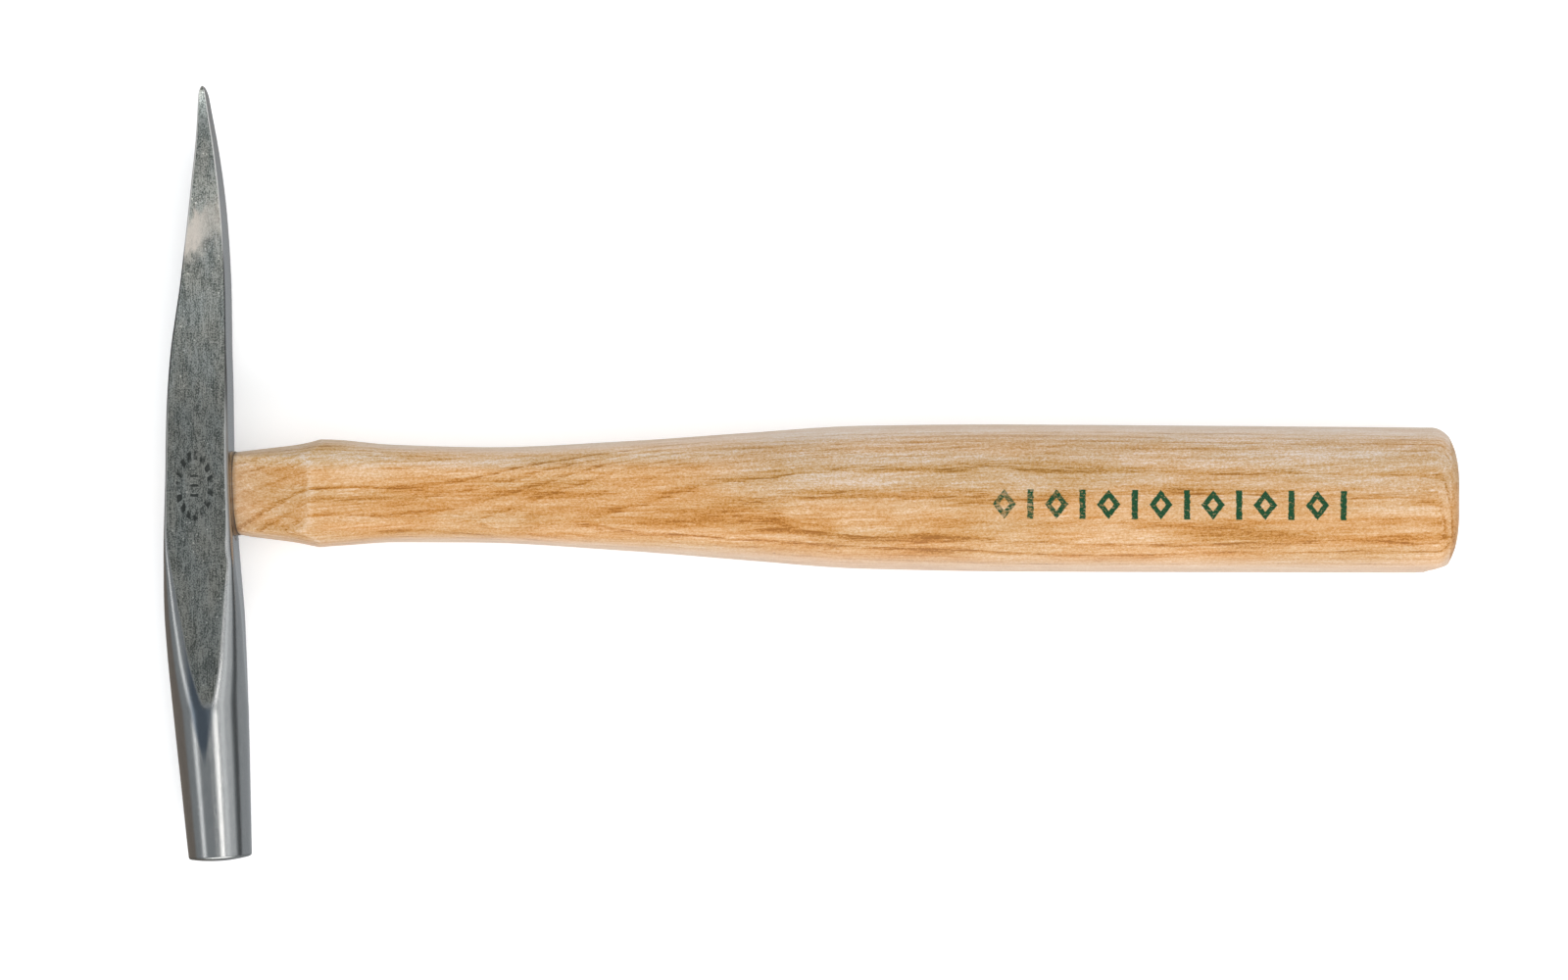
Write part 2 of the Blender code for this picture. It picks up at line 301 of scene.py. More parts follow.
def headRings():
    # (centre x, centre y, half width, half depth, corner radius, tilt, cheek share) of every ring
    rings = []
    # the last of the pein is rounded off to its tip
    turns = [math.radians(90 * step / head["tipSteps"]) for step in range(1, head["tipSteps"])]
    reaches = [tipReach - head["tipRound"] * (1 - math.cos(turn)) for turn in turns]
    fullness = [max(math.sin(turn), head["tipLeast"]) for turn in turns]
    barLength = reaches[-1] - head["pollStart"]
    barSteps = math.ceil(barLength / head["ringStep"])
    reaches += [reaches[-1] - barLength * step / barSteps for step in range(1, barSteps + 1)]
    fullness += [1.0] * barSteps
    for y, full in zip([tipReach] + reaches, [head["tipEnd"]] + fullness):
        halfWidth = smoothBetween(head["halfWidth"], y) * full
        halfDepth = smoothBetween(head["halfDepth"], y) - head["tipThinning"] * (1 - full)
        flat = max(smoothBetween(head["flatShare"], y), head["leastFlat"])
        turned = min(max((head["tiltStart"] - y) / (head["tiltStart"] - head["pollStart"]), 0), 1)
        rings.append((smoothBetween(head["centre"], y), y, halfWidth, halfDepth,
                      min(halfWidth * (1 - flat), halfDepth * (1 - head["leastFlat"])),
                      turned * math.radians(head["pollTilt"]),
                      fadeIn(0.0, head["cheekFade"], flat - head["leastFlat"])))

    tilt = math.radians(head["pollTilt"])
    edge, crown = head["faceEdge"], head["faceCrown"]
    startX = smoothBetween(head["centre"], head["pollStart"])
    # the rim is round and the crown is a shallow dome: the lowest point meets the head's own box
    pollLength = (head["pollStart"] - faceReach - head["faceLean"]) / math.cos(tilt) - edge - crown

    def roundRing(past, radius):
        rings.append((startX + past * math.sin(tilt), head["pollStart"] - past * math.cos(tilt),
                      radius, radius, radius * (1 - head["leastFlat"]), tilt, 0.0))

    pollSteps = math.ceil(pollLength / head["ringStep"])
    for step in range(1, pollSteps + 1):
        share = step / pollSteps
        radius = head["startRadius"] + share * (head["faceRadius"] - head["startRadius"])
        roundRing(share * pollLength, radius)
    crownRadius = head["faceRadius"] - edge
    rimTurn = math.radians(head["rimTurn"])
    for step in range(1, head["rimSteps"] + 1):
        angle = rimTurn * step / head["rimSteps"]
        roundRing(pollLength + edge * math.sin(angle), crownRadius + edge * math.cos(angle))
    lastReach = pollLength + edge * math.sin(rimTurn)
    lastRadius = crownRadius + edge * math.cos(rimTurn)
    for step in range(1, head["crownRings"]):
        share = 1 - step / head["crownRings"]
        reach = lastReach + (crown + edge - lastReach + pollLength) * (1 - share ** 2)
        roundRing(reach, lastRadius * share)
    return rings


def roundedRectangle():
    # each point as (side, end, angle): corners are arcs, flats are straight
    points = []
    corners = ((1, 1), (-1, 1), (-1, -1), (1, -1))
    for quarter, (side, end) in enumerate(corners):
        for step in range(head["cornerPoints"]):
            points.append((side, end, math.radians(90) * (quarter + step / (head["cornerPoints"] - 1))))
        nextSide, nextEnd = corners[(quarter + 1) % 4]
        for step in range(1, head["flatPoints"]):
            share = step / head["flatPoints"]
            points.append((side + (nextSide - side) * share, end + (nextEnd - end) * share,
                           math.radians(90) * (quarter + 1)))
    return points


def buildHead():
    rings = headRings()
    outline = roundedRectangle()

    def place(ring, point):
        centreX, centreY, halfWidth, halfDepth, corner, tilt, _ = rings[ring]
        side, end, angle = outline[point]
        if side > 0:
            # the corners on the handle's side are rounder
            rounder = smoothBetween(head["handleSideRound"], centreY)
            softer = corner * (1 + (rounder - 1) * fadeIn(*head["roundFade"], corner))
            corner += (min(softer, halfWidth * head["mostRound"]) - corner) * min(side, 1)
        across = side * (halfWidth - corner) + corner * math.cos(angle)
        depth = end * (halfDepth - corner) + corner * math.sin(angle)
        spot = Vector((centreX + across * math.cos(tilt), centreY + across * math.sin(tilt), depth))
        # hand grinding leaves the flats and edges a little uneven
        sample = Vector([axis * scale for axis, scale in zip(spot, head["waveScale"])])
        wave = noise.noise(sample) * head["waviness"]
        inward = Vector((math.cos(angle), 0, math.sin(angle))) * (wave - head["waviness"])
        return eye + (spot + inward * min(1, halfWidth / head["waveFade"])) * mm

    def paint(ring, point):
        # red: ground cheek, green: polished poll and sides, blue: worn corner
        _, centreY, _, _, corner, _, cheek = rings[ring]
        angle = outline[point][2]
        onCheek = abs(math.sin(angle)) > 1 - 1e-6
        onSide = abs(math.cos(angle)) > head["sideCosine"]
        polish = max(fadeIn(*head["polishFade"], centreY), head["sidePolish"] if onSide else 0.0)
        if centreY < faceReach + head["faceEdge"] + head["faceCrown"]:
            polish = head["facePolish"]
        edgeWear = 0.0 if onCheek or onSide else fadeIn(*head["wearFade"], corner)
        return (cheek if onCheek else 0.0, polish, edgeWear)

    piece = shapeTube("hammerHead", len(rings) - 1, len(outline), place, paint)
    cutter = buildEyeCutter()
    cutAway(piece, cutter)
    bpy.data.objects.remove(cutter)
    smoothShade(piece, head["sharpAngle"])
    return piece


def slotDepth(height, halfHeight, halfDepth, flat, crisp=2.0):
    past = max(abs(height) - flat, 0) / (halfHeight - flat)
    return halfDepth * max(1 - past ** crisp, 0) ** (1 / crisp)


def sectionPoint(x, point, pointCount, sections):
    # a point of what overlapping (half height, half depth, flat, crispness) sections share
    angle = math.tau * point / pointCount
    height = min(section[0] for section in sections) * math.cos(angle)
    depth = min(slotDepth(height, *section) for section in sections)
    onEdge = point % (pointCount // 2) == 0
    return eye + Vector((x, height, 0.0 if onEdge else math.copysign(depth, math.sin(angle)))) * mm


def eyeSize(x, grow=0.0):
    # the eye is narrowest at its middle and its mouths are rounded over
    share = min(abs(x) / head["eyeReach"], 1.0)
    sizes = [waist + (mouth - waist) * share for waist, mouth in zip(head["eyeWaist"], head["eyeMouth"])]
    return sizes[0] + grow, sizes[1] + grow, head["eyeFlat"], 2.0


def buildEyeCutter():
    # flares out over the last part of each side, where the head's own surface is
    def flare(x):
        farSide, handleSide = head["eyeSurface"]
        beyond = (x - handleSide if x > 0 else farSide - x) + head["eyeRound"]
        return max(beyond, 0.0) ** head["eyeFlarePower"] * head["eyeFlare"]

    def place(ring, point):
        x = head["eyeStations"][ring]
        return sectionPoint(x, point, head["eyePoints"], [eyeSize(x, flare(x))])

    return shapeTube("eyeCutter", len(head["eyeStations"]) - 1, head["eyePoints"], place)


# The handle: tenon, tapered neck, waist, swelled grip and rounded butt

handle = {
    "points": 144, "ringStep": 1.6, "neckRingStep": 0.35, "neckRingsEnd": 30, "sharpAngle": 24,
    "tenonGap": 0.06, "tenonStations": (-6.2, -6.0, -2.5, 0.0, 2.5, 4.5, 5.8), "tenonEndGrain": 0.7,
    # painted shade on the neck beside the head, and where it fades out
    "paintedTo": 5.9, "shadeFade": (7.6, 6.8), "neckShade": 0.35,
    "neckStart": 6.8, "neckEnd": 25.5, "neckFlat": 7.2, "neckCrisp": 1.5, "crestWidth": 0.22,
    # the shoulder's clearance from the head, and its rounding at this half height
    "seatStart": 6, "seatEnd": 10.0, "seatGap": 0.42, "seatLip": 0.05, "seatRound": 0.5,
    "seatHalfHeight": 8,
    "neckHeight": ((6.8, 8.14), (14.4, 9.05), (19, 9.65), (24, 10.75), (26, 11.3)),
    "neckDepth": ((6.8, 4.5), (26, 9.3)),
    # (millimetres from the eye, value) along the oval body; lean moves its lower edge in or out
    "bodyHeight": ((6.8, 10.8), (25, 10.7), (38, 9.72), (56, 9.35), (84, 10.7), (107, 12.4),
                   (130, 13.95), (160, 14.35), (247.2, 14.15)),
    "bodyDepth": ((6.8, 8.3), (25, 8.3), (56, 7.9), (95, 8.6), (140, 9.6), (247.2, 9.6)),
    "bodyFlat": ((6.8, 5.6), (25, 5.6), (50, 4.4), (95, 4.4), (150, 5.4), (247.2, 5.8)),
    "lean": ((6.8, 0.0), (20, 0.0), (27, 0.22), (36, 0.16), (50, 0.0), (75, -0.1), (247.2, -0.1)),
    "buttShoulder": 3.1, "shoulderSteps": 10, "buttInset": 1.55, "buttDome": 2.1, "domeRings": 17,
    "buttCrease": 0.08, "creaseInset": 0.05,
    "dressedDepth": 14.4, "dressedFrom": 7.3, "dressedTo": 1.2, "dressedSlope": 0.3,
}
buttEnd = (handleHigh.x - eye.x) / mm


def bodySection(x):
    lean = smoothBetween(handle["lean"], x)
    return (smoothBetween(handle["bodyHeight"], x) - lean, smoothBetween(handle["bodyDepth"], x),
            smoothBetween(handle["bodyFlat"], x), 2.0)


def neckSection(x):
    return (smoothBetween(handle["neckHeight"], x), smoothBetween(handle["neckDepth"], x),
            handle["neckFlat"], handle["neckCrisp"])


def handleSections():
    # (x, sections, end grain, painted shade beside the head) of every ring
    gap = -handle["tenonGap"]
    rings = [(x, [eyeSize(x, gap)], handle["tenonEndGrain"], 0.0) for x in handle["tenonStations"]]
    x = handle["neckStart"]
    rings.append((x - handle["seatLip"], [eyeSize(head["eyeSurface"][1], gap)], 0.0, 1.0))
    while x < handle["neckRingsEnd"]:
        sections = [neckSection(x), bodySection(x)] if x < handle["neckEnd"] else [bodySection(x)]
        rings.append((x, sections, 0.0, handle["neckShade"] * fadeIn(*handle["shadeFade"], x)))
        x += handle["neckRingStep"]
    shoulderStart = buttEnd - handle["buttDome"] - handle["buttShoulder"]
    steps = math.ceil((shoulderStart - x) / handle["ringStep"])
    for step in range(steps + 1):
        place = x + (shoulderStart - x) * step / steps
        rings.append((place, [bodySection(place)], 0.0, 0.0))
    height, depth, flat, crisp = bodySection(shoulderStart)
    for step in range(1, handle["shoulderSteps"] + 1):
        inset = handle["buttInset"] * (step / handle["shoulderSteps"]) ** 2
        rings.append((shoulderStart + handle["buttShoulder"] * step / handle["shoulderSteps"],
                      [(height - inset, depth - inset, flat, crisp)], 0.0, 0.0))
    height, depth = height - handle["buttInset"], depth - handle["buttInset"]
    crease = handle["creaseInset"]
    rings.append((buttEnd - handle["buttDome"] + handle["buttCrease"],
                  [(height - crease, depth - crease, flat, crisp)], 1.0, 0.0))
    for step in range(1, handle["domeRings"]):
        share = 1 - step / handle["domeRings"]
        rings.append((buttEnd - handle["buttDome"] * share ** 4,
                      [(height * share, depth * share, flat * share, crisp)], 1.0, 0.0))
    return rings


def headSideX(y):
    # the head's handle side, where the neck sits against it
    return smoothBetween(head["centre"], y) + smoothBetween(head["halfWidth"], y)


def buildHandle():
    rings = handleSections()

    def place(ring, point):
        x, sections, _, _ = rings[ring]
        spot = sectionPoint(x, point, handle["points"], sections)
        spot.y += smoothBetween(handle["lean"], x) * mm
        y = (spot.y - eye.y) / mm
        if handle["seatStart"] < x < handle["seatEnd"]:
            # the shoulder follows the head's side and is rounded towards its upper and lower edges
            seat = headSideX(y) + handle["seatGap"]
            seat += handle["seatRound"] * (abs(y) / handle["seatHalfHeight"]) ** 4
            share = (handle["seatEnd"] - x) / (handle["seatEnd"] - handle["neckStart"])
            spot.x += (seat - handle["neckStart"]) * share * mm
        # the butt's lower corner is dressed to a flat
        fromEnd = buttEnd - x
        dressed = -handle["dressedDepth"] + handle["dressedSlope"] * (handle["dressedFrom"] - fromEnd)
        if handle["dressedTo"] < fromEnd < handle["dressedFrom"] and y < dressed:
            spot.y = eye.y + dressed * mm
        return spot

    def paint(ring, point):
        # red: end grain, green: painted shade beside the head, blue: crest between two faces
        _, sections, endGrain, junctionShade = rings[ring]
        crest = 0.0
        if len(sections) > 1:
            # where the neck's flats meet the body
            height = min(section[0] for section in sections) * math.cos(math.tau * point / handle["points"])
            neck, body = (slotDepth(height, *section) for section in sections)
            crest = math.exp(-((neck - body) / handle["crestWidth"]) ** 2)
        return (endGrain, junctionShade, crest)

    return shapeTube("hickoryHandle", len(rings) - 1, handle["points"], place, paint)


# Wedges, driven into the tenon and dressed flush with it

wedges = {
    "wood": {"length": 10.5, "halfWidth": 7.6, "thickness": (2.7, 1.1)},
    "steel": {"length": 6.0, "halfWidth": 3.25, "thickness": (1.5, 0.6), "offset": 3.9},
    "gap": 0.05, "edge": 0.12, "kerfHalfWidth": 11.0, "cutterProud": 1.0, "sharpAngle": 30,
}


def buildWedge(name, sizes, along=0.0, acrossHead=False, grow=0.0, proud=0.0):
    # a cube tapered to its point with softened edges, or a slightly larger sharp cutter
    shape = bmesh.new()
    bmesh.ops.create_cube(shape, size=1.0)
    thick, thin = sizes["thickness"]
    for vert in shape.verts:
        atPoint = vert.co.x > 0
        x = -tenonReach / mm + (sizes["length"] + grow if atPoint else -proud)
        long, short = sizes["halfWidth"] + grow, (thin if atPoint else thick) / 2 + grow
        y, z = (short, long) if acrossHead else (long, short)
        vert.co = eye + Vector((x, along + math.copysign(y, vert.co.y), math.copysign(z, vert.co.z))) * mm
    if not grow:
        bmesh.ops.bevel(shape, geom=shape.edges[:], offset=wedges["edge"] * mm, segments=2,
                        affect="EDGES", profile=0.5, material=-1)
        bmesh.ops.subdivide_edges(shape, edges=shape.edges[:], cuts=2, use_grid_fill=True)
    bmesh.ops.recalc_face_normals(shape, faces=shape.faces)
    return finishMesh(shape, name)


print("stage: head")
headPiece = buildHead()

print("stage: handle")
handlePiece = buildHandle()
kerf = {**wedges["wood"], "halfWidth": wedges["kerfHalfWidth"]}
kerfCutter = buildWedge("kerfCutter", kerf, grow=wedges["gap"], proud=wedges["cutterProud"])
cutAway(handlePiece, kerfCutter)

print("stage: wedges")
woodWedge = buildWedge("woodWedge", wedges["wood"])
steelWedges = {}
for nodeName, side in (("steel_wedge_pein_side", 1), ("steel_wedge_face_side", -1)):
    place = side * wedges["steel"]["offset"]
    steelWedges[nodeName] = buildWedge("steelWedge" + ("Pein" if side > 0 else "Face"), wedges["steel"],
                                       along=place, acrossHead=True)
    slotCutter = buildWedge("slotCutter", wedges["steel"], along=place, acrossHead=True,
                            grow=wedges["gap"], proud=wedges["cutterProud"])
    cutAway(handlePiece, slotCutter)
    cutAway(woodWedge, slotCutter)
    bpy.data.objects.remove(slotCutter)
bpy.data.objects.remove(kerfCutter)
# the cuts leave their new corners unpainted
for vert, paint in zip(handlePiece.data.vertices, handlePiece.data.attributes["finishAndShade"].data):
    if vert.co.x < eye.x + handle["paintedTo"] * mm:
        paint.color = (handle["tenonEndGrain"], 0.0, 0.0, 1.0)
smoothShade(handlePiece, handle["sharpAngle"])
for piece in (woodWedge, *steelWedges.values()):
    smoothShade(piece, wedges["sharpAngle"])


# Materials

def drawStruckMark(tree, spot):
    # a plain oval of struck dashes round a row of three ticks, on the upper cheek beside the eye
    oval = {"x": -0.6, "y": 1.5, "halfWidth": 3.7, "halfHeight": 6.9, "middle": 0.86, "band": 0.22,
            "dashes": 15.0, "wobble": 0.7, "ticks": 1.5, "tickStep": 1.9, "tickReach": 0.95,
            "tickHalf": 0.3, "soft": 0.12}
    shifted = addNode(tree, "Mapping", {"Vector": spot, "Location": (-oval["x"], -oval["y"], 0)}).outputs[0]
    wobble = addNode(tree, "VectorMath", {
        0: addNode(tree, "TexNoise", {"Vector": shifted, "Scale": 0.9}).outputs["Color"],
        1: (0.5, 0.5, 0.5)}, operation="SUBTRACT").outputs[0]
    wobble = addNode(tree, "VectorMath", {0: wobble, "Scale": oval["wobble"]}, operation="SCALE").outputs[0]
    shifted = addNode(tree, "VectorMath", {0: shifted, 1: wobble}, operation="ADD").outputs[0]
    axes = splitAxes(tree, shifted)
    across = calc(tree, "DIVIDE", axes["X"], oval["halfWidth"])
    along = calc(tree, "DIVIDE", axes["Y"], oval["halfHeight"])
    away = calc(tree, "SQRT", addUp(tree, times(tree, across, across), times(tree, along, along)))
    ring = remap(tree, awayFrom(tree, away, oval["middle"]), oval["band"] * 0.75, oval["band"] * 0.45)
    turn = calc(tree, "DIVIDE", calc(tree, "ARCTAN2", along, across), math.tau)
    dash = awayFrom(tree, calc(tree, "FRACT", times(tree, turn, oval["dashes"])), 0.5)
    ring = times(tree, ring, remap(tree, dash, 0.36, 0.24))
    # the ticks stand in a short row down the middle
    row = calc(tree, "DIVIDE", axes["Y"], oval["tickStep"])
    local = calc(tree, "FRACT", addUp(tree, row, 0.5))
    local = calc(tree, "ABSOLUTE", centred(tree, local, oval["tickStep"]))
    tick = times(tree, remap(tree, local, oval["tickHalf"] + oval["soft"], oval["tickHalf"] - oval["soft"]),
                 remap(tree, calc(tree, "ABSOLUTE", axes["X"]), oval["tickReach"], oval["tickReach"] - 0.25))
    tick = times(tree, tick, calc(tree, "LESS_THAN", calc(tree, "ABSOLUTE", row), oval["ticks"]))
    mark = calc(tree, "MAXIMUM", ring, tick)
    mark = times(tree, mark, calc(tree, "GREATER_THAN", axes["Z"], 0.0))
    faint = remap(tree, stretchedNoise(tree, spot, (0.5, 0.5, 0.5), 2.0), 0.36, 0.55, 0.3, 1.0)
    return times(tree, mark, faint)


def makeHeadSteel():
    settings = {"cheekDark": (0.075, 0.083, 0.077, 1), "cheekLight": (0.28, 0.288, 0.272, 1),
                "polished": (0.57, 0.57, 0.56, 1), "polishedDark": (0.41, 0.425, 0.43, 1),
                "speck": (0.62, 0.62, 0.58, 1),
                "edge": (0.55, 0.55, 0.54, 1), "band": (0.80, 0.72, 0.64, 1),
                "brightCorner": (0.95, 0.93, 0.9, 1), "dullCorner": (0.09, 0.09, 0.09, 1),
                "darkPollReflection": (0.34, 0.40, 0.48, 1), "struck": (0.03, 0.034, 0.032, 1),
                "warm": (1.02, 1.0, 0.97, 1), "cool": (0.97, 1.0, 1.015, 1),
                "specks": 0.55, "highlightShare": 0.8, "cornerWear": 0.75, "markInk": 0.88, "markDepth": 2.5,
                "groundRough": 0.46, "polishedRough": 0.14, "relief": 0.00003,
                # painted light and shade: how bright the ground cheek is along the head, from the poll to the
                # tip
                "along": ((-45, 0.8), (-35, 0.84), (-20, 0.93), (15, 0.93), (25, 1.2), (38, 1.45),
                          (44, 1.45), (58, 1.7), (66, 1.25), (73, 1.3), (77, 2.6))}
    material, tree, shader, spot = newMaterial("headSteel")
    cheek, polish, edge = readFinishAndShade(tree)
    ground = useGroup(tree, grinding, {"Vector": spot, "Line Length": 2.6, "Line Width": 0.12})
    grit = stretchedNoise(tree, spot, (4.5, 3.0, 4.5), 2.0, 0.7)
    scratches = stretchedNoise(tree, spot, (9.0, 0.45, 9.0), 2.0, 0.6)
    tone = addUp(tree, times(tree, ground["Lines"], 0.8), centred(tree, scratches, 0.5),
                 times(tree, ground["Blotches"], 0.55), centred(tree, grit, 1.3))
    tone = remap(tree, tone, 0.49, 0.84)
    matte = mixColor(tree, tone, settings["cheekDark"], settings["cheekLight"])
    matte = mixColor(tree, times(tree, ground["Specks"], settings["specks"]), matte, settings["speck"])
    axes = splitAxes(tree, spot)
    x, y = axes["X"], axes["Y"]
    # painted light and shade along the cheek
    cheekLighting = settings["along"][0][1]
    for (low, start), (high, end) in zip(settings["along"], settings["along"][1:]):
        cheekLighting = addUp(tree, cheekLighting, remap(tree, y, low, high, 0.0, end - start))
    matte = tintBy(tree, 1.0, matte, addNode(tree, "CombineColor", {0: cheekLighting, 1: cheekLighting, 2: cheekLighting}).outputs[0])
    tint = remap(tree, stretchedNoise(tree, spot, (0.25, 0.09, 0.25), 3.0), 0.36, 0.64)
    matte = tintBy(tree, 1.0, matte, mixColor(tree, tint, settings["warm"], settings["cool"]))
    # painted highlight: a warm band across the pein, brightest at its outer edge
    ragged = centred(tree, ground["Blotches"], 9.0)
    highlightY = addUp(tree, y, ragged, times(tree, x, -0.6))
    band = times(tree, remap(tree, highlightY, 44.5, 50.5), remap(tree, highlightY, 57.5, 53.0))
    band = times(tree, band, remap(tree, x, 2.6, -1.0, 0.45, 1.0))
    color = mixColor(tree, times(tree, band, settings["highlightShare"]), matte, settings["band"])
    shine = times(tree, polish, calc(tree, "SUBTRACT", 1.0, cheek), clamp=True)
    # the polish keeps a trace of the grit, and is darker in patches
    trace = addUp(tree, 0.5, centred(tree, grit, 0.9), centred(tree, ground["Blotches"], 0.7))
    polished = mixColor(tree, trace, settings["polishedDark"], settings["polished"])
    color = mixColor(tree, shine, color, polished)
    # the corners are worn bright towards the tip and dull beside the eye
    corner = mixColor(tree, remap(tree, y, 44.0, 50.0), settings["dullCorner"], settings["brightCorner"])
    corner = mixColor(tree, remap(tree, y, 24.0, 12.0), corner, settings["edge"])
    color = mixColor(tree, times(tree, edge, settings["cornerWear"]), color, corner)
    # painted reflection: a dark bluish patch on the polished poll just below the end of the cheek
    halfWidth = remap(tree, y, -54.0, -41.0, 0.25, 2.5)
    slanted = addUp(tree, x, times(tree, addUp(tree, y, 42.0), 0.07))
    side = calc(tree, "DIVIDE", awayFrom(tree, slanted, 0.9), halfWidth)
    darkPollReflection = times(tree, remap(tree, side, 1.25, 0.5), remap(tree, y, -54.0, -49.0))
    darkPollReflection = times(tree, darkPollReflection, times(tree, shine, remap(tree, axes["Z"], 3.0, 6.0)))
    color = tintBy(tree, darkPollReflection, color, settings["darkPollReflection"])
    mark = drawStruckMark(tree, spot)
    color = mixColor(tree, times(tree, mark, settings["markInk"]), color, settings["struck"])
    tree.links.new(color, shader.inputs["Base Color"])
    shader.inputs["Metallic"].default_value = 1.0
    rough = remap(tree, shine, 0.0, 1.0, settings["groundRough"], settings["polishedRough"])
    rough = addUp(tree, rough, times(tree, ground["Lines"], 0.1))
    tree.links.new(rough, shader.inputs["Roughness"])
    height = times(tree, ground["Lines"], remap(tree, shine, 0.0, 1.0, 1.0, 0.3))
    height = calc(tree, "SUBTRACT", height, times(tree, mark, settings["markDepth"]))
    addBump(tree, shader, height, settings["relief"])
    return material


def makeWoodGroup():
    # growth rings about a pith beside the handle, with open pores in each ring's early wood
    group, given, result = newGroup("hickoryGrain",
                                    [("Vector", "Vector", None), ("Ring Width", "Float", 1.3)],
                                    [("Rings", "Float"), ("Pores", "Float"), ("Fibre", "Float"),
                                     ("Cloud", "Float"), ("Streaks", "Float"), ("Speckle", "Float")])
    spot = given["Vector"]
    slow = addNode(group, "Mapping", {"Vector": spot, "Scale": (0.011, 0.045, 0.045)}).outputs[0]
    warp = addNode(group, "TexNoise", {"Vector": slow, "Scale": 1.0, "Detail": 3.0, "Roughness": 0.45})
    shift = addNode(group, "VectorMath", {0: warp.outputs["Color"], 1: (0.5, 0.5, 0.5)},
                    operation="SUBTRACT").outputs[0]
    shift = addNode(group, "VectorMath", {0: shift, 1: (0.0, 5.0, 5.0)}, operation="MULTIPLY").outputs[0]
    bent = addNode(group, "VectorMath", {0: spot, 1: shift}, operation="ADD").outputs[0]
    axes = splitAxes(group, bent)
    # the pith drifts across, so the rings lie flat under the grip's lower half and meet it in arches
    pithY = remap(group, axes["X"], 35.0, 105.0, -25.0, -8.0)
    flat = addNode(group, "CombineXYZ", {"X": 0.0, "Y": calc(group, "SUBTRACT", axes["Y"], pithY),
                                         "Z": calc(group, "SUBTRACT", axes["Z"], 49.0)}).outputs[0]
    reach = addNode(group, "VectorMath", {0: flat}, operation="LENGTH").outputs["Value"]
    # each ring starts with a thin dark line that fades into open wood
    jitter = stretchedNoise(group, bent, (0.05, 0.9, 0.9), 4.0, 0.6)
    turns = addUp(group, calc(group, "DIVIDE", reach, given["Ring Width"]), times(group, jitter, 0.5))
    phase = calc(group, "FRACT", turns)
    early = times(group, remap(group, phase, 0.0, 0.08), remap(group, phase, 0.55, 0.1))
    chance = addNode(group, "TexWhiteNoise", {"W": calc(group, "FLOOR", turns)},
                     noise_dimensions="1D").outputs["Value"]
    early = times(group, early, remap(group, chance, 0.0, 1.0, 0.25, 1.0))
    broken = remap(group, stretchedNoise(group, bent, (0.07, 1.4, 1.4), 4.0, 0.7), 0.38, 0.62)
    rings = times(group, early, addUp(group, times(group, broken, 0.75), 0.25))
    # the fibres climb a little towards the butt
    climb = addNode(group, "CombineXYZ", {"Y": times(group, axes["X"], -0.045)}).outputs[0]
    along = addNode(group, "VectorMath", {0: bent, 1: climb}, operation="ADD").outputs[0]
    poreNoise = stretchedNoise(group, along, (0.22, 4.2, 4.2), 2.0, 0.6)
    pores = remap(group, poreNoise, 0.55, 0.63)
    fibre = stretchedNoise(group, along, (0.09, 2.2, 2.2), 6.0, 0.72)
    streaks = stretchedNoise(group, along, (0.05, 0.5, 0.5), 5.0, 0.68)
    cloud = stretchedNoise(group, bent, (0.022, 0.11, 0.11), 3.0, 0.55)
    speckle = stretchedNoise(group, spot, (2.0, 3.2, 3.2), 3.0, 0.8)
    for socket, value in (("Rings", rings), ("Pores", pores), ("Fibre", fibre), ("Cloud", cloud),
                          ("Streaks", streaks), ("Speckle", speckle)):
        group.links.new(value, result[socket])
    return group


woodGrain = makeWoodGroup()


def drawInkRow(tree, spot):
    # a plain row of ink marks along the grip: open diamonds and bars in turn
    row = {"start": 155.0, "end": 226.3, "across": -1.25, "halfHeight": 2.9, "cell": 5.09,
           "diamond": 2.3, "stroke": 0.56, "strokeSoft": 0.04, "bar": 0.6, "barSoft": 0.08, "wobble": 0.5}
    axes = splitAxes(tree, spot)
    wobble = centred(tree, stretchedNoise(tree, spot, (1.6, 1.6, 1.6), 3.0), row["wobble"])
    along = calc(tree, "DIVIDE", calc(tree, "SUBTRACT", axes["X"], row["start"]), row["cell"])
    local = centred(tree, calc(tree, "FRACT", along), row["cell"])
    local = calc(tree, "ABSOLUTE", addUp(tree, local, wobble))
    height = calc(tree, "DIVIDE", awayFrom(tree, axes["Y"], row["across"]), row["halfHeight"])
    slant = addUp(tree, calc(tree, "DIVIDE", local, row["diamond"]), height)
    half = row["stroke"] / 2
    outline = awayFrom(tree, slant, 1 - half)
    diamond = remap(tree, outline, half + row["strokeSoft"], half - row["strokeSoft"])
    bar = times(tree, remap(tree, local, row["bar"] + row["barSoft"], row["bar"] - row["barSoft"]),
                remap(tree, height, 1.02, 0.96))
    odd = calc(tree, "GREATER_THAN", calc(tree, "FRACT", times(tree, along, 0.5)), 0.5)
    marks = mixColor(tree, odd, diamond, bar)
    inRow = times(tree, calc(tree, "GREATER_THAN", axes["X"], row["start"]),
                  calc(tree, "LESS_THAN", axes["X"], row["end"]))
    inRow = times(tree, inRow, calc(tree, "GREATER_THAN", axes["Z"], 0.0))
    fade = remap(tree, axes["X"], 150.0, 185.0, 0.12, 0.0)
    wear = calc(tree, "SUBTRACT", stretchedNoise(tree, spot, (1.0, 2.4, 2.4), 4.0, 0.75), fade)
    worn = remap(tree, wear, 0.32, 0.44, 0.4, 1.0)
    return times(tree, times(tree, marks, inRow), worn)


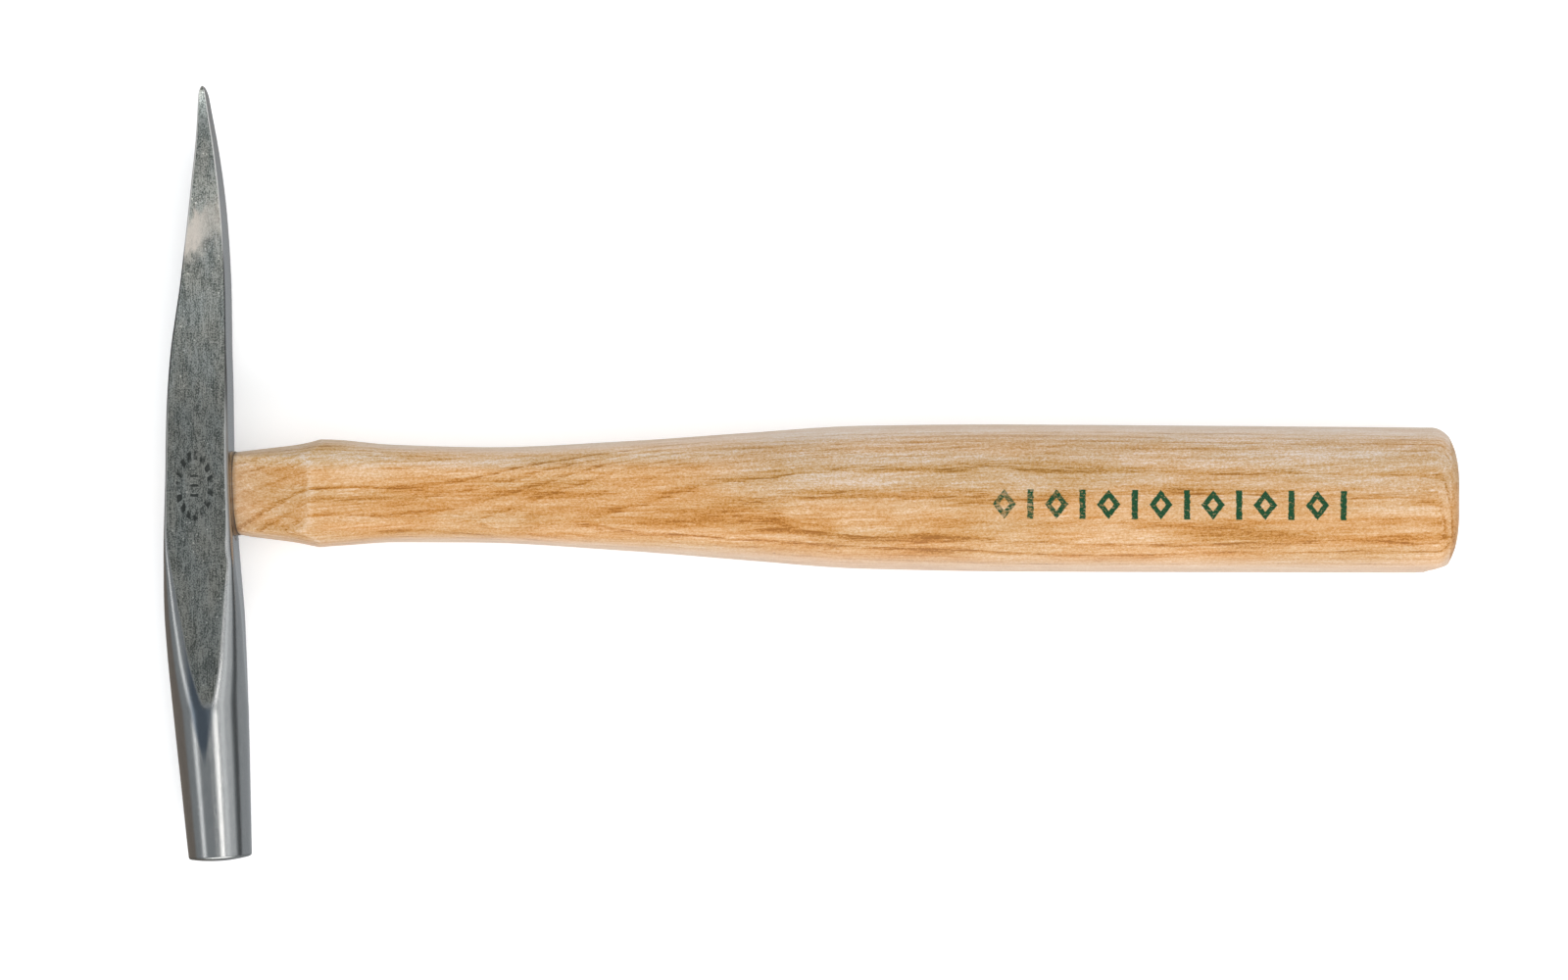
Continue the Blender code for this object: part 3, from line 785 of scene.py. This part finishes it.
def makeHickory():
    settings = {"tones": ((0.0, (0.72, 0.53, 0.36, 1)), (0.3, (0.62, 0.38, 0.19, 1)),
                          (0.55, (0.555, 0.292, 0.103, 1)), (0.8, (0.475, 0.205, 0.038, 1)),
                          (1.0, (0.31, 0.115, 0.013, 1))),
                "side": (0.67, 0.575, 0.50, 1), "upperGripSheen": (0.90, 1.03, 1.30, 1),
                "upperEdgeSheen": (1.0, 1.17, 1.5, 1),
                # orange patches in the flat grain: (x, y, reach along, reach across)
                "patches": ((97, -4.5, 15, 4), (119, -6.5, 15, 4), (145, -9, 12, 4.5), (168, -4, 9, 4),
                            (202, -7.5, 18, 3.5), (236, -6, 16, 4), (62, 1, 26, 3)),
                "warm": (1.03, 0.985, 0.94, 1), "cool": (0.975, 1.01, 1.06, 1),
                "junctionShade": (0.06, 0.042, 0.028, 1), "ink": (0.0, 0.052, 0.014, 1),
                "ringWidth": 1.3, "baseTone": 0.39, "poreDark": 0.7, "relief": 0.00006,
                "shader": {"Specular IOR Level": 0.25, "Coat Weight": 0.07, "Coat Roughness": 0.25,
                           "Sheen Weight": 0.14, "Sheen Roughness": 0.35, "Sheen Tint": (0.88, 0.93, 1, 1)}}
    material, tree, shader, spot = newMaterial("hickory")
    endGrain, junctionShade, crest = readFinishAndShade(tree)
    grain = useGroup(tree, woodGrain, {"Vector": spot, "Ring Width": settings["ringWidth"]})
    patch = 0.0
    for x, y, along, across in settings["patches"]:
        offset = addNode(tree, "Mapping", {"Vector": spot, "Location": (-x / along, -y / across, -0.8),
                                           "Scale": (1 / along, 1 / across, 0.09)}).outputs[0]
        away = addNode(tree, "VectorMath", {0: offset}, operation="LENGTH").outputs["Value"]
        patch = calc(tree, "MAXIMUM", patch, remap(tree, away, 1.5, 0.2))
    patch = times(tree, patch, remap(tree, grain["Streaks"], 0.34, 0.62, 0.2, 1.0))
    # painted sheen: the grip's upper half is paler and cooler than the rest
    axes = splitAxes(tree, spot)
    upperSheen = times(tree, remap(tree, axes["X"], 85.0, 120.0), remap(tree, axes["Y"], -3.0, 5.0))
    flecks = remap(tree, stretchedNoise(tree, spot, (0.35, 2.4, 2.4), 3.0, 0.6), 0.62, 0.72)
    tone = addUp(tree, settings["baseTone"], times(tree, upperSheen, -0.04), times(tree, patch, 0.28),
                 times(tree, grain["Rings"], 0.55), centred(tree, grain["Streaks"], 1.0),
                 centred(tree, grain["Fibre"], 1.15), centred(tree, grain["Cloud"], 0.6),
                 centred(tree, grain["Speckle"], 1.7), times(tree, endGrain, 0.2),
                 times(tree, flecks, -0.3), times(tree, crest, -0.2))
    poreShare = times(tree, grain["Pores"], addUp(tree, times(tree, grain["Rings"], 0.5), 0.16))
    tone = calc(tree, "ADD", tone, times(tree, poreShare, settings["poreDark"]), clamp=True)
    ramp = addNode(tree, "ValToRGB", {"Fac": tone})
    stops = ramp.color_ramp.elements
    for index, (place, shade) in enumerate(settings["tones"]):
        stop = stops[index] if index < 2 else stops.new(place)
        stop.position = place
        stop.color = shade
    color = ramp.outputs[0]
    tint = remap(tree, stretchedNoise(tree, spot, (0.03, 0.16, 0.16), 3.0), 0.36, 0.64)
    color = tintBy(tree, 1.0, color, mixColor(tree, tint, settings["warm"], settings["cool"]))
    color = tintBy(tree, upperSheen, color, settings["upperGripSheen"])
    # painted sheen: the upper edge of the neck and waist is made paler and greyer
    rise = calc(tree, "DIVIDE", axes["Y"], remap(tree, axes["X"], 60.0, 140.0, 9.4, 14.3))
    upperEdgeSheen = times(tree, remap(tree, rise, 0.45, 0.7), remap(tree, axes["X"], 125.0, 85.0))
    color = tintBy(tree, upperEdgeSheen, color, settings["upperEdgeSheen"])
    # painted sheen on the sides as well, away from the two broad faces
    depth = remap(tree, axes["X"], 60.0, 140.0, 7.9, 9.6)
    side = remap(tree, calc(tree, "DIVIDE", calc(tree, "ABSOLUTE", axes["Z"]), depth), 0.86, 0.42, 0.0, 0.5)
    side = times(tree, side, remap(tree, axes["X"], 20.0, 40.0, 0.5, 1.0))
    side = times(tree, side, calc(tree, "SUBTRACT", 1.0, endGrain))
    # painted sheen: the sides are mixed towards a pale colour
    color = mixColor(tree, side, color, settings["side"])
    # painted shade where the handle meets the head
    color = mixColor(tree, junctionShade, color, settings["junctionShade"])
    ink = drawInkRow(tree, spot)
    color = mixColor(tree, ink, color, settings["ink"])
    tree.links.new(color, shader.inputs["Base Color"])
    rough = remap(tree, grain["Fibre"], 0.3, 0.7, 0.38, 0.52)
    tree.links.new(rough, shader.inputs["Roughness"])
    for socket, value in settings["shader"].items():
        shader.inputs[socket].default_value = value
    height = calc(tree, "SUBTRACT", times(tree, grain["Fibre"], 0.5), poreShare)
    addBump(tree, shader, height, settings["relief"])
    return material


def makeWedgeWood():
    # end grain of a darker wood, sawn off flush with the tenon
    settings = {"light": (0.36, 0.20, 0.09, 1), "dark": (0.17, 0.08, 0.03, 1), "ringWidth": 0.8,
                "relief": 0.00008}
    material, tree, shader, spot = newMaterial("wedgeWood")
    grain = useGroup(tree, woodGrain, {"Vector": spot, "Ring Width": settings["ringWidth"]})
    saw = stretchedNoise(tree, spot, (2.0, 0.4, 7.0), 3.0, 0.6)
    tone = addUp(tree, 0.3, times(tree, grain["Rings"], 0.5), centred(tree, grain["Fibre"], 1.2),
                 centred(tree, saw, 0.8))
    tree.links.new(mixColor(tree, remap(tree, tone, 0.0, 1.0), settings["light"], settings["dark"]),
                   shader.inputs["Base Color"])
    tree.links.new(remap(tree, saw, 0.3, 0.7, 0.6, 0.8), shader.inputs["Roughness"])
    addBump(tree, shader, saw, settings["relief"])
    return material


def makeWedgeSteel():
    # mild steel, dented where it was hammered in
    settings = {"light": (0.42, 0.41, 0.39, 1), "dark": (0.14, 0.13, 0.12, 1), "relief": 0.0001}
    material, tree, shader, spot = newMaterial("wedgeSteel")
    ground = useGroup(tree, grinding, {"Vector": spot, "Line Length": 0.7, "Line Width": 0.2})
    cells = addNode(tree, "TexVoronoi", {"Vector": spot, "Scale": 1.3}, feature="SMOOTH_F1")
    dents = cells.outputs["Distance"]
    tone = addUp(tree, times(tree, ground["Blotches"], 0.8), times(tree, dents, 0.5))
    tree.links.new(mixColor(tree, remap(tree, tone, 0.35, 0.9), settings["light"], settings["dark"]),
                   shader.inputs["Base Color"])
    shader.inputs["Metallic"].default_value = 1.0
    tree.links.new(remap(tree, ground["Lines"], 0.3, 0.7, 0.38, 0.55), shader.inputs["Roughness"])
    addBump(tree, shader, addUp(tree, dents, times(tree, ground["Lines"], 0.2)), settings["relief"])
    return material


print("stage: materials")
headSteel = makeHeadSteel()
hickory = makeHickory()
wedgeWood = makeWedgeWood()
wedgeSteel = makeWedgeSteel()

placePiece(headPiece, headSteel, "head_steel", "head")
placePiece(handlePiece, hickory, "handle_hickory", "handle")
placePiece(woodWedge, wedgeWood, "wedge_wood", "wood_wedge")
for nodeName, piece in steelWedges.items():
    placePiece(piece, wedgeSteel, "wedge_steel", nodeName)


# Floor, lights and camera

studio = {
    "cameraHeight": 1.2, "lens": 140.2, "sensorWidth": 36, "roll": 0.30, "lookX": 114.6, "lookY": 1.23,
    "floorSize": 8.0, "floorColor": (0.88, 0.88, 0.88, 1), "floorRough": 0.9, "floorGlow": 0.33,
    # what the polished steel sees of the floor, from its left side to its right
    "floorInSteel": ((0.23, 0.20, 0.175, 1), (0.40, 0.42, 0.44, 1)),
    "world": (0.30, 0.32, 0.335, 1), "worldRight": (0.1, 0.105, 0.11, 1), "worldFade": (0.9, 0.97),
    # away and across are degrees from straight up, along the handle and along the head
    "lamps": {
        "overheadPein": {"away": 8.5, "across": 13, "size": (0.28, 0.36), "radiance": 2.4},
        "overheadFace": {"away": 8.5, "across": -13, "size": (0.28, 0.36), "radiance": 2.4,
                         "color": (1, 0.97, 0.94)},
        "rightNear": {"away": 30, "across": -9, "size": (0.44, 0.8), "radiance": 0.66},
        "rightFill": {"away": 52, "across": -9, "size": (0.5, 0.8), "radiance": 0.36},
        "leftStrip": {"away": -50.5, "across": -9, "size": (0.28, 0.8), "radiance": 1.05},
        "rightBank": {"away": 62, "across": 0, "size": (0.7, 1.4), "radiance": 1.5, "glossy": False},
        "topBank": {"away": 0, "across": 52, "size": (1.6, 0.9), "radiance": 2.7, "distance": 1.5,
                    "target": Vector((0, 0, 0))},
        "bottomBank": {"away": 0, "across": -58, "size": (1.6, 0.9), "radiance": 4.2, "distance": 1.5,
                       "target": Vector((0, 0, 0))},
    },
}


def buildFloor():
    shape = bmesh.new()
    bmesh.ops.create_grid(shape, x_segments=8, y_segments=8, size=studio["floorSize"] / 2)
    piece = finishMesh(shape, "floor")
    material = bpy.data.materials.new("paperFloor")
    material.use_nodes = True
    tree = material.node_tree
    shader = tree.nodes["Principled BSDF"]
    shader.inputs["Base Color"].default_value = studio["floorColor"]
    shader.inputs["Roughness"].default_value = studio["floorRough"]
    # the paper glows a little so that its shadows stay faint, and looks greyer in the polished steel
    glow = addNode(tree, "Emission", {"Color": (1, 1, 1, 1), "Strength": studio["floorGlow"]})
    lifted = addNode(tree, "AddShader", {0: shader.outputs[0], 1: glow.outputs[0]})
    x = splitAxes(tree, addNode(tree, "TexCoord").outputs["Object"])["X"]
    inSteel = mixColor(tree, remap(tree, x, headLow.x, headHigh.x), *studio["floorInSteel"])
    dim = addNode(tree, "Emission", {"Color": inSteel})
    path = addNode(tree, "LightPath").outputs
    seen = addNode(tree, "MixShader", {0: path["Is Camera Ray"], 1: shader.outputs[0], 2: lifted.outputs[0]})
    mixed = addNode(tree, "MixShader", {0: path["Is Glossy Ray"], 1: seen.outputs[0], 2: dim.outputs[0]})
    tree.links.new(mixed.outputs[0], tree.nodes["Material Output"].inputs["Surface"])
    piece.data.materials.append(material)


def addSoftbox(name, away, across, size, radiance, color=(1, 1, 1), distance=1.3, target=eye, glossy=True):
    data = bpy.data.lights.new(name, "AREA")
    data.shape = "RECTANGLE"
    data.size, data.size_y = size
    data.energy = radiance * math.pi * size[0] * size[1]
    data.color = color
    lamp = bpy.data.objects.new(name, data)
    bpy.context.scene.collection.objects.link(lamp)
    direction = Vector((math.tan(math.radians(away)), math.tan(math.radians(across)), 1)).normalized()
    upward = (Vector((0, 1, 0)) - direction * direction.y).normalized()
    turn = Matrix((upward.cross(direction), upward, direction)).transposed().to_4x4()
    lamp.matrix_world = Matrix.Translation(target + direction * distance) @ turn
    lamp.visible_camera = False
    lamp.visible_glossy = glossy


print("stage: studio")
buildFloor()
for name, settings in studio["lamps"].items():
    addSoftbox(name, **settings)

world = bpy.data.worlds.new("studioWorld")
world.use_nodes = True
sky = world.node_tree
toRight = splitAxes(sky, addNode(sky, "TexCoord").outputs["Generated"])["X"]
darker = remap(sky, toRight, *studio["worldFade"])
sky.links.new(mixColor(sky, darker, studio["world"], studio["worldRight"]),
              sky.nodes["Background"].inputs["Color"])
bpy.context.scene.world = world

cameraData = bpy.data.cameras.new("camera")
cameraData.lens = studio["lens"]
cameraData.sensor_width = studio["sensorWidth"]
camera = bpy.data.objects.new("camera", cameraData)
bpy.context.scene.collection.objects.link(camera)
camera.location = eye + Vector((studio["lookX"] * mm, studio["lookY"] * mm, studio["cameraHeight"]))
camera.rotation_euler = (0, 0, math.radians(studio["roll"]))
bpy.context.scene.camera = camera
bpy.context.scene.view_settings.view_transform = "Standard"

bpy.context.view_layer.update()
print("stage: done")
